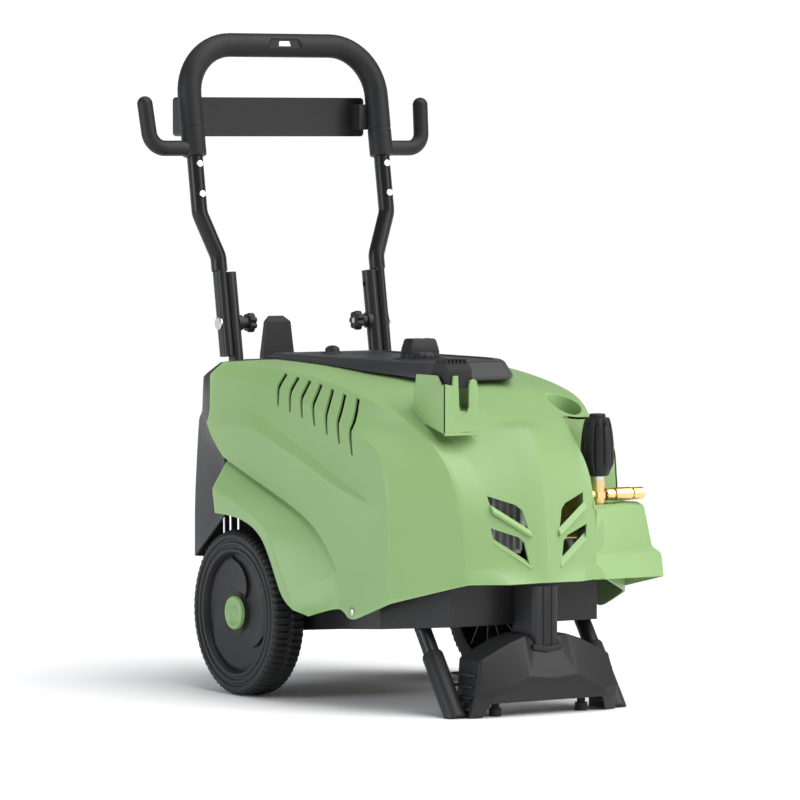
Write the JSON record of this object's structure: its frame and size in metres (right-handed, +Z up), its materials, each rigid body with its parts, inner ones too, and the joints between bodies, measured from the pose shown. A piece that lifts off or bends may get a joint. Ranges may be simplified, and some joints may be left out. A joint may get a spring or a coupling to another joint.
{
  "type": "pressure washer",
  "caption": "Wheeled electric pressure washer with a green hood, brass outlet, regulator knob and a fold-down push handle with hose hooks.",
  "frame": {"origin": "on the floor, under the middle of the bounding box", "axes": "+X to the right seen from the front, -Y to the front, +Z up"},
  "size_m": [0.525, 0.822, 0.9986],
  "materials": {
    "black_steel": "semi-gloss black powder coat",
    "zinc_steel": "zinc plated",
    "black_plastic": "fine-grained moulded black",
    "dark_plastic": "fine-grained anthracite",
    "green_plastic": "satin moulded green",
    "grip_plastic": "soft-touch grained black",
    "black_rubber": "matt",
    "cast_aluminium": "die-cast",
    "bearing_steel": "machined",
    "brass": "machined",
    "ceramic_white": "ground"
  },
  "bodies": {
    "chassis": {"chassis_tray": "black_steel", "upright_tube_left": "black_steel", "upright_tube_right": "black_steel", "leg_tube_left": "black_steel", "leg_tube_right": "black_steel", "foot_bar": "black_steel", "post_bracket": "black_steel", "axle": "zinc_steel", "axle_clips": "zinc_steel", "hood_screws": "zinc_steel", "foot_shroud": "black_plastic", "front_post": "black_plastic", "rear_cover": "black_plastic", "cable_hooks": "black_plastic", "cable_gland": "black_plastic", "fan_cover": "black_plastic", "terminal_box": "black_plastic", "capacitor": "black_plastic", "switch_body": "black_plastic", "breaker": "black_plastic", "clamp_saddles": "black_plastic", "hood": "green_plastic", "top_cover": "dark_plastic", "rubber_feet": "black_rubber", "lance_clip": "black_rubber", "motor_mounts": "black_rubber", "motor_housing": "cast_aluminium", "motor_front_shield": "cast_aluminium", "motor_rear_shield": "cast_aluminium", "pump_crankcase": "cast_aluminium", "bearings": "bearing_steel", "motor_stator": "bearing_steel", "regulator_stem": "bearing_steel", "pump_head": "brass", "valve_caps": "brass", "unloader_body": "brass", "outlet_coupling": "brass", "inlet_pipe": "brass", "inlet_coupling": "black_plastic", "plungers": "ceramic_white"},
    "rotor": {"rotor_shaft": "bearing_steel", "crankshaft": "bearing_steel", "cooling_fan": "black_plastic"},
    "regulator": {"regulator_knob": "black_plastic"},
    "switch": {"switch_knob": "black_plastic", "switch_spindle": "zinc_steel"},
    "button": {"reset_button": "black_rubber"},
    "wheel_left": {"wheel_left": "black_plastic", "hub_cap_left": "green_plastic"},
    "wheel_right": {"wheel_right": "black_plastic", "hub_cap_right": "green_plastic"},
    "handle": {"handle_tube": "black_steel", "grip_cover": "grip_plastic", "hose_hook_left": "grip_plastic", "hose_hook_right": "grip_plastic", "handle_panel": "black_plastic", "handle_screws": "zinc_steel", "clamp_bolts": "zinc_steel"},
    "knob_left": {"star_knob_left": "black_plastic"},
    "knob_right": {"star_knob_right": "black_plastic"}
  },
  "joints": [
    {"name": "handle_fold", "type": "hinge", "parent": "chassis", "child": "handle", "pos_m": [0, 0.2905, 0.5505], "axis": [1, 0, 0], "range_deg": [0, 99]},
    {"name": "left_knob_turn", "type": "hinge", "parent": "handle", "child": "knob_left", "pos_m": [-0.104, 0.2905, 0.5505], "axis": [1, 0, 0], "continuous": true},
    {"name": "right_knob_turn", "type": "hinge", "parent": "handle", "child": "knob_right", "pos_m": [0.104, 0.2905, 0.5505], "axis": [1, 0, 0], "continuous": true},
    {"name": "left_wheel_spin", "type": "hinge", "parent": "chassis", "child": "wheel_left", "pos_m": [-0.227, 0.076, 0.1245], "axis": [1, 0, 0], "continuous": true},
    {"name": "right_wheel_spin", "type": "hinge", "parent": "chassis", "child": "wheel_right", "pos_m": [0.227, 0.076, 0.1245], "axis": [1, 0, 0], "continuous": true},
    {"name": "motor_spin", "type": "hinge", "parent": "chassis", "child": "rotor", "pos_m": [-0.054, 0, 0.292], "axis": [0, 1, 0], "continuous": true},
    {"name": "regulator_turn", "type": "hinge", "parent": "chassis", "child": "regulator", "pos_m": [0.14, -0.314, 0.384], "axis": [0, 0, 1], "continuous": true},
    {"name": "switch_turn", "type": "hinge", "parent": "chassis", "child": "switch", "pos_m": [0, -0.047, 0.512], "axis": [0, 0, 1], "range_deg": [-90, 0]},
    {"name": "button_press", "type": "slide", "parent": "chassis", "child": "button", "axis": [0, 0, -1], "range_m": [0, 0.004], "stiffness_N_per_m": 800}
  ]
}
